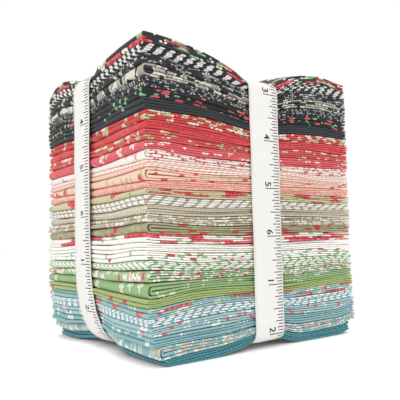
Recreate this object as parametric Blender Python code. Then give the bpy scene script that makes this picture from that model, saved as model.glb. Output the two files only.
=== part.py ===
"""A tied bundle of folded printed cottons: 33 fat quarters in one stack, held by two crossed twill tapes.

Every fat quarter is one back-and-forth strip, four passes long. A pass is the cloth's own four plies. The
strip is a section in the XZ plane, drawn out along Y. The tapes pinch the stack in a cross, so its four
corners puff up at the top and down to the floor at the bottom. The folds at the two ends keep the stack
thicker than its front and back, so its top is crowned between those.
"""

import math
from typing import NamedTuple

import bmesh
import bpy

# Sizes in metres. +X runs along the long side, +Y away from the front face and +Z up from the floor.
FOLDED_LENGTH = 0.142
FOLDED_WIDTH = 0.118
PASSES = 4
PASS_THICKNESS = 0.00088
PASS_GAP = 0.00007
PIECE_GAP = 0.0003
TAPE_WIDTH = 0.020
TAPE_THICKNESS = 0.0008

# The cross that the tapes press flat, a little off the middle, and the puffed corners beside it.
CROSS_X = 0.003
CROSS_Y = 0.007
PINCH_HALF_WIDTH = 0.011
CORNER_DROP = 0.0065
CROWN_RISE = 0.0085
PUFFED_AT_TOP = 8
PUFFED_AT_BOTTOM = 4

# The facets round one end of a strip. A slit too narrow for an arc ends square.
TURN_SEGMENTS = 3
NARROWEST_ARC = 0.0002

ROW_HEIGHT = PASSES * PASS_THICKNESS + (PASSES - 1) * PASS_GAP
ROW_PITCH = ROW_HEIGHT + PIECE_GAP
MILLIMETRE = 0.001


class Fabric(NamedTuple):
    """One fat quarter, and how far each of its edges stays inside the full size, in millimetres."""

    name: str
    fold: str
    left: float
    right: float
    front: float
    back: float
    colour: str


class Fold(NamedTuple):
    """The passes, counted from the bottom, as the strip runs through them, and how deep each turn nests."""

    order: tuple
    nested: tuple


class Corner(NamedTuple):
    """A puffed corner of the stack: its side of each tape, and its rise at the top in millimetres."""

    x_side: int
    y_side: int
    rise: float


class Knot(NamedTuple):
    """How far a corner has puffed at this distance from the tape's middle line, from 0 to 1."""

    distance: float
    share: float


FOLDS = {
    "accordion": Fold(order=(3, 2, 1, 0), nested=(0, 0, 0)),
    "halved": Fold(order=(3, 0, 1, 2), nested=(0, 0, 1)),
}

# From the top of the stack to its bottom.
FABRICS = (
    Fabric("charcoal_rose", "accordion", 1.5, 3.0, 1.2, 2.0, "#3d4144"),
    Fabric("black_leaf_stripe", "accordion", 0.8, 1.5, 0.6, 1.0, "#2a2c2e"),
    Fabric("black_blossom", "accordion", 1.0, 0.5, 0.4, 1.5, "#303236"),
    Fabric("black_cream_scroll", "halved", 0.4, 1.0, 0.9, 0.5, "#4a463e"),
    Fabric("black_fine_marks", "accordion", 0.8, 0.0, 0.2, 1.0, "#33363a"),
    Fabric("black_rosebud", "accordion", 0.2, 1.4, 1.0, 0.0, "#2f2a2b"),
    Fabric("charcoal_sparse", "accordion", 1.0, 0.6, 0.4, 0.8, "#3a3e41"),
    Fabric("red_posy", "accordion", 0.5, 1.2, 0.7, 0.3, "#b8343c"),
    Fabric("red_tonal", "halved", 1.2, 0.3, 0.0, 1.1, "#c8353c"),
    Fabric("red_cream_floral", "accordion", 0.3, 0.9, 0.8, 0.6, "#c4514d"),
    Fabric("coral_blossom", "halved", 0.9, 1.6, 0.3, 0.2, "#e0626a"),
    Fabric("white_sprig", "halved", 0.0, 0.7, 1.1, 0.9, "#f0dcd8"),
    Fabric("peach_check", "accordion", 0.7, 0.0, 0.5, 0.4, "#f6cdb5"),
    Fabric("peach_leaf_berry", "halved", 0.2, 1.1, 0.1, 1.2, "#f3b9a9"),
    Fabric("pink_plain", "halved", 1.1, 0.5, 0.9, 0.1, "#f0a79c"),
    Fabric("red_cream_rose", "halved", 0.4, 1.3, 0.4, 0.7, "#c95a50"),
    Fabric("taupe_leaf_stripe", "accordion", 0.8, 0.2, 0.0, 0.5, "#b5a68c"),
    Fabric("taupe_fine", "halved", 0.1, 0.9, 0.7, 1.0, "#ad9f88"),
    Fabric("taupe_blossom", "accordion", 0.9, 0.4, 0.3, 0.2, "#bcae96"),
    Fabric("taupe_green_berry", "halved", 0.3, 1.5, 1.0, 0.8, "#a9a287"),
    Fabric("white_rose", "accordion", 0.6, 0.6, 0.2, 0.4, "#efe9e0"),
    Fabric("cream_plain", "accordion", 1.0, 0.1, 0.6, 1.1, "#efe6d0"),
    Fabric("white_leaf_berry", "accordion", 0.2, 1.0, 0.0, 0.3, "#e6ead8"),
    Fabric("green_leaf_stripe", "halved", 0.7, 0.4, 0.8, 0.9, "#b9d5ae"),
    Fabric("green_blossom", "halved", 0.4, 1.2, 0.3, 0.1, "#a8c98f"),
    Fabric("green_tonal", "halved", 1.1, 0.0, 0.5, 0.6, "#9dbb84"),
    Fabric("lime_dot", "accordion", 0.3, 0.8, 0.1, 1.0, "#9db56a"),
    Fabric("aqua_rose", "accordion", 0.8, 0.5, 0.7, 0.2, "#a4bdb2"),
    Fabric("aqua_leaf_stripe", "accordion", 1.2, 1.0, 0.2, 0.5, "#a9d0d2"),
    Fabric("aqua_blossom", "accordion", 0.6, 0.6, 0.6, 0.8, "#8fc3c8"),
    Fabric("aqua_tonal", "accordion", 1.4, 1.2, 0.4, 0.3, "#7fb6bd"),
    Fabric("aqua_cream_scroll", "halved", 2.8, 2.2, 0.9, 1.2, "#8db9b4"),
    Fabric("teal_dense", "accordion", 5.5, 4.0, 1.6, 2.0, "#4a8b95"),
)
TAPE_COLOUR = "#f1eee6"
COTTON_ROUGHNESS = 0.9

# The corners stay level with the stack inside the pinch, and rise as they leave it.
CORNERS = (
    Corner(-1, -1, 14.5),
    Corner(1, -1, 12.0),
    Corner(-1, 1, 13.0),
    Corner(1, 1, 12.0),
)
TOP_ALONG_X = (Knot(PINCH_HALF_WIDTH, 0.0), Knot(0.036, 0.75), Knot(FOLDED_LENGTH / 2, 1.0))
TOP_ALONG_Y = (Knot(PINCH_HALF_WIDTH, 0.0), Knot(0.034, 0.85), Knot(FOLDED_WIDTH / 2, 1.0))
CROWN_ALONG_Y = (Knot(PINCH_HALF_WIDTH, 1.0), Knot(0.034, 0.65), Knot(FOLDED_WIDTH / 2 + CROSS_Y, 0.0))
BOTTOM_ALONG_X = (Knot(PINCH_HALF_WIDTH, 0.0), Knot(0.036, 1.0), Knot(FOLDED_LENGTH / 2, 1.0))
BOTTOM_ALONG_Y = (Knot(PINCH_HALF_WIDTH, 0.0), Knot(0.032, 1.0), Knot(FOLDED_WIDTH / 2, 1.0))

STACK_BOTTOM = CORNER_DROP
STACK_TOP = STACK_BOTTOM + len(FABRICS) * ROW_PITCH - PIECE_GAP


def clear_scene():
    """Removes whatever the start-up scene holds."""
    for leftover in list(bpy.data.objects):
        bpy.data.objects.remove(leftover, do_unlink=True)


def linear_colour(code):
    """Turns a hex sRGB colour into linear RGB with alpha."""
    values = []
    for start in (1, 3, 5):
        part = int(code[start : start + 2], 16) / 255
        values.append(part / 12.92 if part <= 0.04045 else ((part + 0.055) / 1.055) ** 2.4)
    return (*values, 1.0)


def cloth_material(name, code):
    """A matt woven cotton in one colour."""
    material = bpy.data.materials.new(name)
    material.use_nodes = True
    shader = material.node_tree.nodes["Principled BSDF"]
    shader.inputs["Base Color"].default_value = linear_colour(code)
    shader.inputs["Roughness"].default_value = COTTON_ROUGHNESS
    shader.inputs["Metallic"].default_value = 0.0
    material.diffuse_color = linear_colour(code)
    return material


def share_at(knots, distance):
    """Reads the puff's share at a distance from a tape's middle line, straight between the knots."""
    if distance <= knots[0].distance:
        return knots[0].share
    for inner, outer in zip(knots, knots[1:]):
        if distance <= outer.distance:
            part = (distance - inner.distance) / (outer.distance - inner.distance)
            return inner.share + part * (outer.share - inner.share)
    return knots[-1].share


def corner_rise(x, y):
    """The rise of the puffed corner that this point belongs to."""
    for corner in CORNERS:
        if (x - CROSS_X) * corner.x_side >= 0 and (y - CROSS_Y) * corner.y_side >= 0:
            return corner.rise * MILLIMETRE
    return 0.0


def lift(x, y, z):
    """How far the puffed corners move a point of the flat stack up or down."""
    top_zone = PUFFED_AT_TOP * ROW_PITCH
    bottom_zone = PUFFED_AT_BOTTOM * ROW_PITCH
    into_top = max(0.0, (z - (STACK_TOP - top_zone)) / top_zone)
    into_bottom = max(0.0, (STACK_BOTTOM + bottom_zone - z) / bottom_zone)
    from_x, from_y = abs(x - CROSS_X), abs(y - CROSS_Y)
    top = share_at(TOP_ALONG_X, from_x) * share_at(TOP_ALONG_Y, from_y)
    bottom = share_at(BOTTOM_ALONG_X, from_x) * share_at(BOTTOM_ALONG_Y, from_y)
    crown = CROWN_RISE * share_at(CROWN_ALONG_Y, from_y)
    raised = crown + (corner_rise(x, y) - crown) * top
    return raised * into_top - CORNER_DROP * into_bottom * bottom


def turn_arc(centre_x, from_z, to_z, side, radius):
    """The points round one end of the strip, from the height it comes in at to the one it leaves at."""
    centre_z = (from_z + to_z) / 2
    direction = 1 if from_z > to_z else -1
    segments = TURN_SEGMENTS if radius > NARROWEST_ARC else 1
    points = []
    for step in range(segments + 1):
        angle = math.pi * step / segments
        x = centre_x + side * radius * math.sin(angle)
        z = centre_z + direction * radius * math.cos(angle)
        points.append((x, z))
    return points


def strip_section(fold, bottom, left, right, stations):
    """The outline of a strip that runs through its passes in turn, the first one to the left.

    stations are the places along X where the outline needs a point on every pass.
    """
    half = PASS_THICKNESS / 2
    step = PASS_THICKNESS + PASS_GAP
    passes = [bottom + half + step * index for index in fold.order]
    port = [(right, passes[0] - half)]
    starboard = [(right, passes[0] + half)]
    heading = -1
    for index, height in enumerate(passes):
        last = index == len(passes) - 1
        turn_radius = 0.0 if last else abs(passes[index + 1] - height) / 2
        end = left if heading < 0 else right
        end_x = end if last else end - heading * (turn_radius + half + step * fold.nested[index])
        for station in sorted(stations, reverse=heading < 0):
            port.append((station, height + heading * half))
            starboard.append((station, height - heading * half))
        if last:
            port.append((end_x, height + heading * half))
            starboard.append((end_x, height - heading * half))
            continue
        down = passes[index + 1] < height
        turns_to_port = down == (heading < 0)
        inner = turn_arc(end_x, height, passes[index + 1], heading, turn_radius - half)
        outer = turn_arc(end_x, height, passes[index + 1], heading, turn_radius + half)
        port += inner if turns_to_port else outer
        starboard += outer if turns_to_port else inner
        heading = -heading
    return port + starboard[::-1]


def split_quad(shape, corners):
    """Adds a four-sided face as two triangles, cut from the corner nearest the tapes' crossing.

    Every layer is cut the same way, so the layers never cross where they puff.
    """
    away = [abs(corner.co.x - CROSS_X) + abs(corner.co.y - CROSS_Y) for corner in corners]
    nearest = away.index(min(away))
    a, b, c, d = corners[nearest:] + corners[:nearest]
    shape.faces.new((a, b, c))
    shape.faces.new((a, c, d))


def finish_object(name, shape, material):
    """Makes an object of the shape, with its faces pointing out."""
    bmesh.ops.recalc_face_normals(shape, faces=shape.faces)
    mesh = bpy.data.meshes.new(name)
    shape.to_mesh(mesh)
    shape.free()
    mesh.materials.append(material)
    node = bpy.data.objects.new(name, mesh)
    bpy.context.scene.collection.objects.link(node)
    return node


def mirrored(knots, middle):
    """The places of all but the last knot, on both sides of a tape's middle line, in rising order."""
    offsets = [side * knot.distance for knot in knots[:-1] for side in (-1, 1)]
    return sorted(middle + offset for offset in offsets)


def build_fabric(index, fabric):
    """Builds one folded fat quarter in its place in the stack, counted from the top."""
    bottom = STACK_TOP - index * ROW_PITCH - ROW_HEIGHT
    left = -FOLDED_LENGTH / 2 + fabric.left * MILLIMETRE
    right = FOLDED_LENGTH / 2 - fabric.right * MILLIMETRE
    front = -FOLDED_WIDTH / 2 + fabric.front * MILLIMETRE
    back = FOLDED_WIDTH / 2 - fabric.back * MILLIMETRE
    if index < PUFFED_AT_TOP:
        across, along = TOP_ALONG_X, TOP_ALONG_Y
    elif index >= len(FABRICS) - PUFFED_AT_BOTTOM:
        across, along = BOTTOM_ALONG_X, BOTTOM_ALONG_Y
    else:
        across, along = (), ()
    x_stations = mirrored(across, CROSS_X)
    y_stations = mirrored(along, CROSS_Y)
    section = strip_section(FOLDS[fabric.fold], bottom, left, right, x_stations)

    shape = bmesh.new()
    rings = []
    for y in [front, *y_stations, back]:
        rings.append([shape.verts.new((x, y, z + lift(x, y, z))) for x, z in section])
    for near, far in zip(rings, rings[1:]):
        for here in range(len(section)):
            after = (here + 1) % len(section)
            split_quad(shape, [near[here], near[after], far[after], far[here]])
    shape.faces.new(rings[0])
    shape.faces.new(rings[-1][::-1])
    name = f"fat_quarter_{index + 1:02d}_{fabric.name}"
    return finish_object(name, shape, cloth_material(fabric.name, fabric.colour))


def convex_outline(points):
    """The convex outline round the points, anticlockwise, which is the way a taut tape lies."""
    ordered = sorted(set(points))
    outline = []
    for run in (ordered, ordered[::-1]):
        chain = []
        for point in run:
            while len(chain) > 1 and turn_of(chain[-2], chain[-1], point) <= 0:
                chain.pop()
            chain.append(point)
        outline += chain[:-1]
    return outline


def turn_of(a, b, c):
    """Twice the area of the triangle, above zero if it runs anticlockwise."""
    return (b[0] - a[0]) * (c[1] - a[1]) - (b[1] - a[1]) * (c[0] - a[0])


def grown_outline(outline, distance):
    """Moves each side of a convex outline out by the distance."""
    grown = []
    for index, point in enumerate(outline):
        before = outline[index - 1]
        after = outline[(index + 1) % len(outline)]
        first = math.atan2(point[1] - before[1], point[0] - before[0]) - math.pi / 2
        second = math.atan2(after[1] - point[1], after[0] - point[0]) - math.pi / 2
        half_bend = ((second - first) % math.tau) / 2
        reach = distance / math.cos(half_bend)
        heading = first + half_bend
        grown.append((point[0] + reach * math.cos(heading), point[1] + reach * math.sin(heading)))
    return grown


def front_back_points():
    """The stack's section under the tape round the front and back, as points (y, z)."""
    points = []
    for index, fabric in enumerate(FABRICS):
        top = STACK_TOP - index * ROW_PITCH
        front = -FOLDED_WIDTH / 2 + fabric.front * MILLIMETRE
        back = FOLDED_WIDTH / 2 - fabric.back * MILLIMETRE
        for y in [front, *mirrored(TOP_ALONG_Y, CROSS_Y), back]:
            points += [(y, z + lift(CROSS_X, y, z)) for z in (top, top - ROW_HEIGHT)]
    return points


def left_right_points():
    """The stack's section under the tape round the two ends, as points (x, z)."""
    points = []
    for index, fabric in enumerate(FABRICS):
        top = STACK_TOP - index * ROW_PITCH
        left = -FOLDED_LENGTH / 2 + fabric.left * MILLIMETRE
        right = FOLDED_LENGTH / 2 - fabric.right * MILLIMETRE
        for x in (left, right):
            points += [(x, z + lift(x, CROSS_Y, z)) for z in (top, top - ROW_HEIGHT)]
    return points


def build_tape(name, outline, place, material):
    """Builds one closed band round the stack. place puts a point of its section across the band."""
    inner = grown_outline(outline, PIECE_GAP)
    outer = grown_outline(outline, PIECE_GAP + TAPE_THICKNESS)
    half = TAPE_WIDTH / 2
    shape = bmesh.new()
    rings = []
    for section, across in ((inner, -half), (outer, -half), (outer, half), (inner, half)):
        rings.append([shape.verts.new(place(along, across, z)) for along, z in section])
    for first, second in zip(rings, rings[1:] + rings[:1]):
        for here in range(len(outline)):
            after = (here + 1) % len(outline)
            shape.faces.new((first[here], first[after], second[after], second[here]))
    return finish_object(name, shape, material)


def build_tapes():
    """Builds the tape round the front and back, then the one round the ends, which crosses outside it."""
    twill = cloth_material("printed_twill", TAPE_COLOUR)
    front_outline = convex_outline(front_back_points())
    build_tape(
        "tape_front_back", front_outline, lambda along, across, z: (CROSS_X + across, along, z), twill
    )

    crossing = PIECE_GAP + TAPE_THICKNESS
    over = STACK_TOP + CROWN_RISE + crossing
    under = STACK_BOTTOM - crossing
    edges = (CROSS_X - TAPE_WIDTH / 2, CROSS_X + TAPE_WIDTH / 2)
    end_outline = convex_outline(left_right_points() + [(x, z) for x in edges for z in (over, under)])
    build_tape(
        "tape_left_right", end_outline, lambda along, across, z: (along, CROSS_Y + across, z), twill
    )


def main():
    """Builds the whole bundle."""
    clear_scene()
    for index, fabric in enumerate(FABRICS):
        build_fabric(index, fabric)
    build_tapes()


main()
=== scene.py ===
"""The looks of the fat quarter bundle: 33 folded printed cottons and the two ruler tapes that tie them."""

import logging
import math
import random
from dataclasses import dataclass, field
from enum import Enum

import bmesh
import bpy
from mathutils import Euler, Matrix, Vector, noise


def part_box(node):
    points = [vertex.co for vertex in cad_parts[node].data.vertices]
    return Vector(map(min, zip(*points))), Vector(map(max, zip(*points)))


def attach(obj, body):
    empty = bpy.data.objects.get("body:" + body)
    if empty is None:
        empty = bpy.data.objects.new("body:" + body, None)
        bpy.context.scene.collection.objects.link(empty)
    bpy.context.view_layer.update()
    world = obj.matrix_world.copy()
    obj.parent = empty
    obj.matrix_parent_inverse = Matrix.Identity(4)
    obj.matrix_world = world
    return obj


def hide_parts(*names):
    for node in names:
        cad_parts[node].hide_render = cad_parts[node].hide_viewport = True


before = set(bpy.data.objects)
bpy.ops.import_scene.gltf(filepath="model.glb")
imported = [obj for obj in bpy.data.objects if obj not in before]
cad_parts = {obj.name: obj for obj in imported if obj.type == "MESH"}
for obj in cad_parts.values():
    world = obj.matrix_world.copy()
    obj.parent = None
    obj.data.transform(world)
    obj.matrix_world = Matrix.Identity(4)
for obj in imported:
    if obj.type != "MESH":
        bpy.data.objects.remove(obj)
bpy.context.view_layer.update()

log = logging.getLogger("bundle")
MM = 0.001
INCH = 0.0254
CAPITAL_SHARE = 0.72  # of a letter size, which is how high a number stands
FLAT_CLOTH = "flat_cloth"  # the UV map with each point's place on the flat cloth, in metres
MATH, VECTOR_MATH, MIX = "ShaderNodeMath", "ShaderNodeVectorMath", "ShaderNodeMix"
BUMP, NOISE, SPLIT = "ShaderNodeBump", "ShaderNodeTexNoise", "ShaderNodeSeparateXYZ"
Socket = bpy.types.NodeSocket
Masks = tuple[Socket, Socket | float]
Knots = tuple[tuple[float, float], ...]


def linear(code: str) -> tuple[float, float, float, float]:
    """Turns a hex sRGB colour into the linear one that a shader takes.

    Args:
        code: The colour as #rrggbb.

    Returns:
        Red, green, blue and an alpha of one.
    """
    parts = [int(code[start : start + 2], 16) / 255 for start in (1, 3, 5)]
    values = [part / 12.92 if part <= 0.04045 else ((part + 0.055) / 1.055) ** 2.4 for part in parts]
    return (*values, 1.0)


def ramp(value: float, low: float, high: float) -> float:
    """Rises smoothly from 0 at low to 1 at high.

    Args:
        value: Where to read the ramp.
        low: The end where it is 0.
        high: The end where it is 1.

    Returns:
        A share from 0 to 1.
    """
    share = min(1.0, max(0.0, (value - low) / (high - low)))
    return share * share * (3 - 2 * share)


def flatten(shape: bmesh.types.BMesh, flat: bmesh.types.BMLayerItem, spots: dict) -> None:
    """Smooths every face and writes where its corners lie on the flat cloth.

    Args:
        shape: The cloth's mesh.
        flat: Its UV map.
        spots: For each vertex, its two coordinates on the flat cloth.
    """
    for face in shape.faces:
        face.smooth = True
        for loop in face.loops:
            loop[flat].uv = spots[loop.vert]


def as_piece(shape: bmesh.types.BMesh, name: str, finish: bpy.types.Material) -> bpy.types.Object:
    """Turns a finished mesh into an object at the origin, and frees it.

    Args:
        shape: The mesh, in its place.
        name: What the piece is called.
        finish: Its material.

    Returns:
        The piece, in the scene.
    """
    mesh = bpy.data.meshes.new(name)
    shape.to_mesh(mesh)
    shape.free()
    mesh.materials.append(finish)
    return in_scene(name, mesh)


def in_scene(name: str, data: bpy.types.ID) -> bpy.types.Object:
    """Puts a mesh, text, lamp or camera into the scene.

    Args:
        name: What the object is called.
        data: What it shows.

    Returns:
        The object.
    """
    holder = bpy.data.objects.new(name, data)
    bpy.context.scene.collection.objects.link(holder)
    return holder


def thicken(cloth: bpy.types.Object, thickness: float) -> None:
    """Gives a sheet its thickness, half to each side.

    Args:
        cloth: The sheet.
        thickness: In metres.
    """
    shell = cloth.modifiers.new("cloth thickness", "SOLIDIFY")
    shell.thickness = thickness
    shell.offset = 0.0


# ---------------------------------------------------------------------------------------------- finishes


class Dye:
    """A material's node tree while it is being made."""

    def __init__(self, name: str) -> None:
        """Starts a material that holds only its shader and its output.

        Args:
            name: What the material is called.
        """
        self.material = bpy.data.materials.new(name)
        self.material.use_nodes = True
        self.tree = self.material.node_tree
        self.shader = self.tree.nodes["Principled BSDF"]

    def feed(self, node: bpy.types.Node, links: dict | tuple) -> None:
        """Links or sets a node's inputs.

        Args:
            node: The node.
            links: What each input takes, a socket or a value, by name or number, or just for the first few.
        """
        for key, value in links.items() if isinstance(links, dict) else enumerate(links):
            if isinstance(value, Socket):
                self.tree.links.new(value, node.inputs[key])
            else:
                node.inputs[key].default_value = value

    def add(self, kind: str, links: dict | tuple, **settings: object) -> bpy.types.bpy_prop_collection:
        """Adds one node with its settings and links.

        Args:
            kind: The node's type.
            links: What its inputs take, as in feed.
            settings: The node's own properties.

        Returns:
            The node's outputs.
        """
        node = self.tree.nodes.new(kind)
        for name, value in settings.items():
            setattr(node, name, value)
        self.feed(node, links)
        return node.outputs

    def dress(self, links: dict) -> bpy.types.Material:
        """Links or sets the shader's own sockets and hands over the material."""
        self.feed(self.shader, links)
        return self.material


class Shape(Enum):
    """The shapes that the prints are made of."""

    ROSE = "rose"
    BLOSSOM = "blossom"
    LEAF = "leaf"
    BERRY = "berry"
    WEDGE = "wedge"
    SCROLL = "scroll"
    MARKS = "marks"
    CHECK = "check"


@dataclass(frozen=True)
class Motif:
    """One colour layer of a print: a shape repeated over the cloth.

    Spacing and size are in millimetres, but for stripes, scrolls, marks and checks the size is a share of
    the spacing. The share is how many of the shapes are there, or for stripes their height in spacings.
    Depths, hearts, widths and veins are shares of the shape's radius or spacing. A patch or swirl shows
    where its pattern is past its cut.
    """

    shape: Shape
    spacing: float
    size: float
    colour: str
    accent: str
    share: float = 1.0
    layer_shift: tuple[float, float] = (3.7, 9.1)
    scatter: float = 0.7
    petals: float = 5.0
    rose_depth: float = 0.10
    rose_swirl: float = 17.0
    swirl_cut: float = 0.25
    blossom_depth: float = 0.26
    blossom_heart: float = 0.3
    leaf_width: float = 0.42
    leaf_vein: float = 0.06
    wedge_lean: float = 0.95
    wedge_taper: float = 0.5
    wedge_vein: float = 0.03
    patch_cut: float = 0.13
    patch_gain: float = 0.1

    def paint(self, dye: Dye, cloth: Socket, below: Socket | tuple, layer: int) -> Socket:
        """Prints the motif over what is already on the cloth.

        Args:
            dye: The material being made.
            cloth: The flat cloth's coordinates in millimetres.
            below: The colour under the motif.
            layer: Its number in the print, which moves it off the other layers.

        Returns:
            The colour with the motif on it.
        """
        pitch = 1 / self.spacing
        shift = (self.layer_shift[0] * layer, self.layer_shift[1] * layer, 0.0)
        place = dye.add(
            "ShaderNodeMapping", {"Vector": cloth, "Location": shift, "Scale": (pitch, pitch, pitch)}
        )[0]
        builders = {
            Shape.WEDGE: self._wedges,
            Shape.SCROLL: self._scrolls,
            Shape.MARKS: self._marks,
            Shape.CHECK: self._checks,
        }
        mask, heart = builders.get(self.shape, self._scattered)(dye, place)
        ink = dye.add(MIX, {0: heart, 6: linear(self.colour), 7: linear(self.accent)}, data_type="RGBA")[2]
        return dye.add(MIX, {0: mask, 6: below, 7: ink}, data_type="RGBA")[2]

    def _scattered(self, dye: Dye, place: Socket) -> Masks:
        """Draws a rose, blossom, leaf or berry in each cell, turned at random.

        Args:
            dye: The material being made.
            place: The cloth's coordinates, one unit to a cell.

        Returns:
            The motif's mask, and the mask of its heart or veins.
        """
        radius = self.size / self.spacing / 2
        spread = {"Vector": place, "Scale": 1.0, "Randomness": self.scatter}
        cell = dye.add("ShaderNodeTexVoronoi", spread, voronoi_dimensions="2D")
        distance = cell["Distance"]
        chance = dye.add("ShaderNodeSeparateColor", (cell["Color"],))
        turn = dye.add(MATH, (chance[1], math.tau), operation="MULTIPLY")[0]
        away = dye.add(VECTOR_MATH, (place, cell["Position"]), operation="SUBTRACT")[0]
        turned = {"Vector": away, "Angle": turn}
        local = dye.add("ShaderNodeVectorRotate", turned, rotation_type="Z_AXIS")[0]
        along = dye.add(SPLIT, (local,))
        heart: Socket | float = 0.0
        if self.shape is Shape.BERRY:
            inside = dye.add(MATH, (distance, radius), operation="LESS_THAN")[0]
        elif self.shape is Shape.LEAF:
            bend = dye.add(MATH, (along[0], along[0]), operation="MULTIPLY")[0]
            bow = (bend, -self.leaf_width / radius, self.leaf_width * radius)
            room = dye.add(MATH, bow, operation="MULTIPLY_ADD")[0]
            side = dye.add(MATH, (along[1],), operation="ABSOLUTE")[0]
            inside = dye.add(MATH, (side, room), operation="LESS_THAN")[0]
            heart = dye.add(MATH, (side, self.leaf_vein * radius), operation="LESS_THAN")[0]
        else:
            rose = self.shape is Shape.ROSE
            angle = dye.add(MATH, (along[1], along[0]), operation="ARCTAN2")[0]
            around = dye.add(MATH, (angle, self.petals), operation="MULTIPLY")[0]
            wave = dye.add(MATH, (around,), operation="COSINE")[0]
            depth = self.rose_depth if rose else self.blossom_depth
            scallop = (wave, depth * radius, (1 - depth) * radius)
            edge = dye.add(MATH, scallop, operation="MULTIPLY_ADD")[0]
            inside = dye.add(MATH, (distance, edge), operation="LESS_THAN")[0]
            if rose:
                spiral = (distance, self.rose_swirl / radius, around)
                twist = dye.add(MATH, spiral, operation="MULTIPLY_ADD")[0]
                swirl = dye.add(MATH, (twist,), operation="SINE")[0]
                heart = dye.add(MATH, (swirl, self.swirl_cut), operation="GREATER_THAN")[0]
            else:
                middle = self.blossom_heart * radius
                heart = dye.add(MATH, (distance, middle), operation="LESS_THAN")[0]
        present = dye.add(MATH, (chance[0], self.share), operation="LESS_THAN")[0]
        mask = dye.add(MATH, (inside, present), operation="MULTIPLY")[0]
        return mask, heart

    def _wedges(self, dye: Dye, place: Socket) -> Masks:
        """Draws rows of slanted leaves, each row leaning the other way.

        Args:
            dye: The material being made.
            place: The cloth's coordinates, one unit to a leaf.

        Returns:
            The leaves' mask, and the mask of their veins.
        """
        along = dye.add(SPLIT, (place,))
        tall = dye.add(MATH, (along[1], 1 / self.share, 0.5), operation="MULTIPLY_ADD")[0]
        row = dye.add(MATH, (tall,), operation="FLOOR")[0]
        parity = dye.add(MATH, (row, 2.0), operation="MODULO")[0]
        odd = dye.add(MATH, (parity,), operation="ABSOLUTE")[0]
        leaning = (odd, 2 * self.wedge_lean, -self.wedge_lean)
        lean = dye.add(MATH, leaning, operation="MULTIPLY_ADD")[0]
        down = dye.add(MATH, (tall,), operation="FRACT")[0]
        middle = dye.add(MATH, (down, 0.5), operation="SUBTRACT")[0]
        slanted = dye.add(MATH, (middle, lean, along[0]), operation="MULTIPLY_ADD")[0]
        step = dye.add(MATH, (slanted,), operation="FRACT")[0]
        off = dye.add(MATH, (step, 0.5), operation="SUBTRACT")[0]
        side = dye.add(MATH, (off,), operation="ABSOLUTE")[0]
        bend = dye.add(MATH, (middle, middle), operation="MULTIPLY")[0]
        room = dye.add(MATH, (bend, -self.wedge_taper, self.size), operation="MULTIPLY_ADD")[0]
        mask = dye.add(MATH, (side, room), operation="LESS_THAN")[0]
        vein = dye.add(MATH, (side, self.wedge_vein), operation="LESS_THAN")[0]
        return mask, vein

    def _scrolls(self, dye: Dye, place: Socket) -> Masks:
        """Draws curling lines and the patches between them.

        Args:
            dye: The material being made.
            place: The cloth's coordinates, one unit to a curl.

        Returns:
            The lines' and patches' mask, and the patches' own.
        """
        curls = dye.add(NOISE, {"Vector": place, "Scale": 1.0, "Detail": 1.0}, noise_dimensions="2D")[0]
        off = dye.add(MATH, (curls, 0.5), operation="SUBTRACT")[0]
        side = dye.add(MATH, (off,), operation="ABSOLUTE")[0]
        line = dye.add(MATH, (side, self.size), operation="LESS_THAN")[0]
        cut = self.patch_cut - self.patch_gain * self.share
        patch = dye.add(MATH, (off, cut), operation="GREATER_THAN")[0]
        mask = dye.add(MATH, (line, patch), operation="MAXIMUM")[0]
        return mask, patch

    def _marks(self, dye: Dye, place: Socket) -> Masks:
        """Draws fine marks on a grid.

        Args:
            dye: The material being made.
            place: The cloth's coordinates, one unit to a pair of marks.

        Returns:
            The marks' mask, and nothing for a heart.
        """
        along = dye.add(SPLIT, (place,))
        waves = []
        for axis in (0, 1):
            turn = dye.add(MATH, (along[axis], math.tau), operation="MULTIPLY")[0]
            waves.append(dye.add(MATH, (turn,), operation="SINE")[0])
        both = dye.add(MATH, (waves[0], waves[1]), operation="MULTIPLY")[0]
        return dye.add(MATH, (both, self.size), operation="GREATER_THAN")[0], 0.0

    def _checks(self, dye: Dye, place: Socket) -> Masks:
        """Draws a woven check, half as strong where only one way is coloured.

        Args:
            dye: The material being made.
            place: The cloth's coordinates, one unit to a check.

        Returns:
            The check's mask, and nothing for a heart.
        """
        along = dye.add(SPLIT, (place,))
        bars = []
        for axis in (0, 1):
            part = dye.add(MATH, (along[axis],), operation="FRACT")[0]
            bars.append(dye.add(MATH, (part, self.size), operation="LESS_THAN")[0])
        both = dye.add(MATH, (bars[0], bars[1]), operation="ADD")[0]
        return dye.add(MATH, (both, 0.5), operation="MULTIPLY")[0], 0.0


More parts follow.
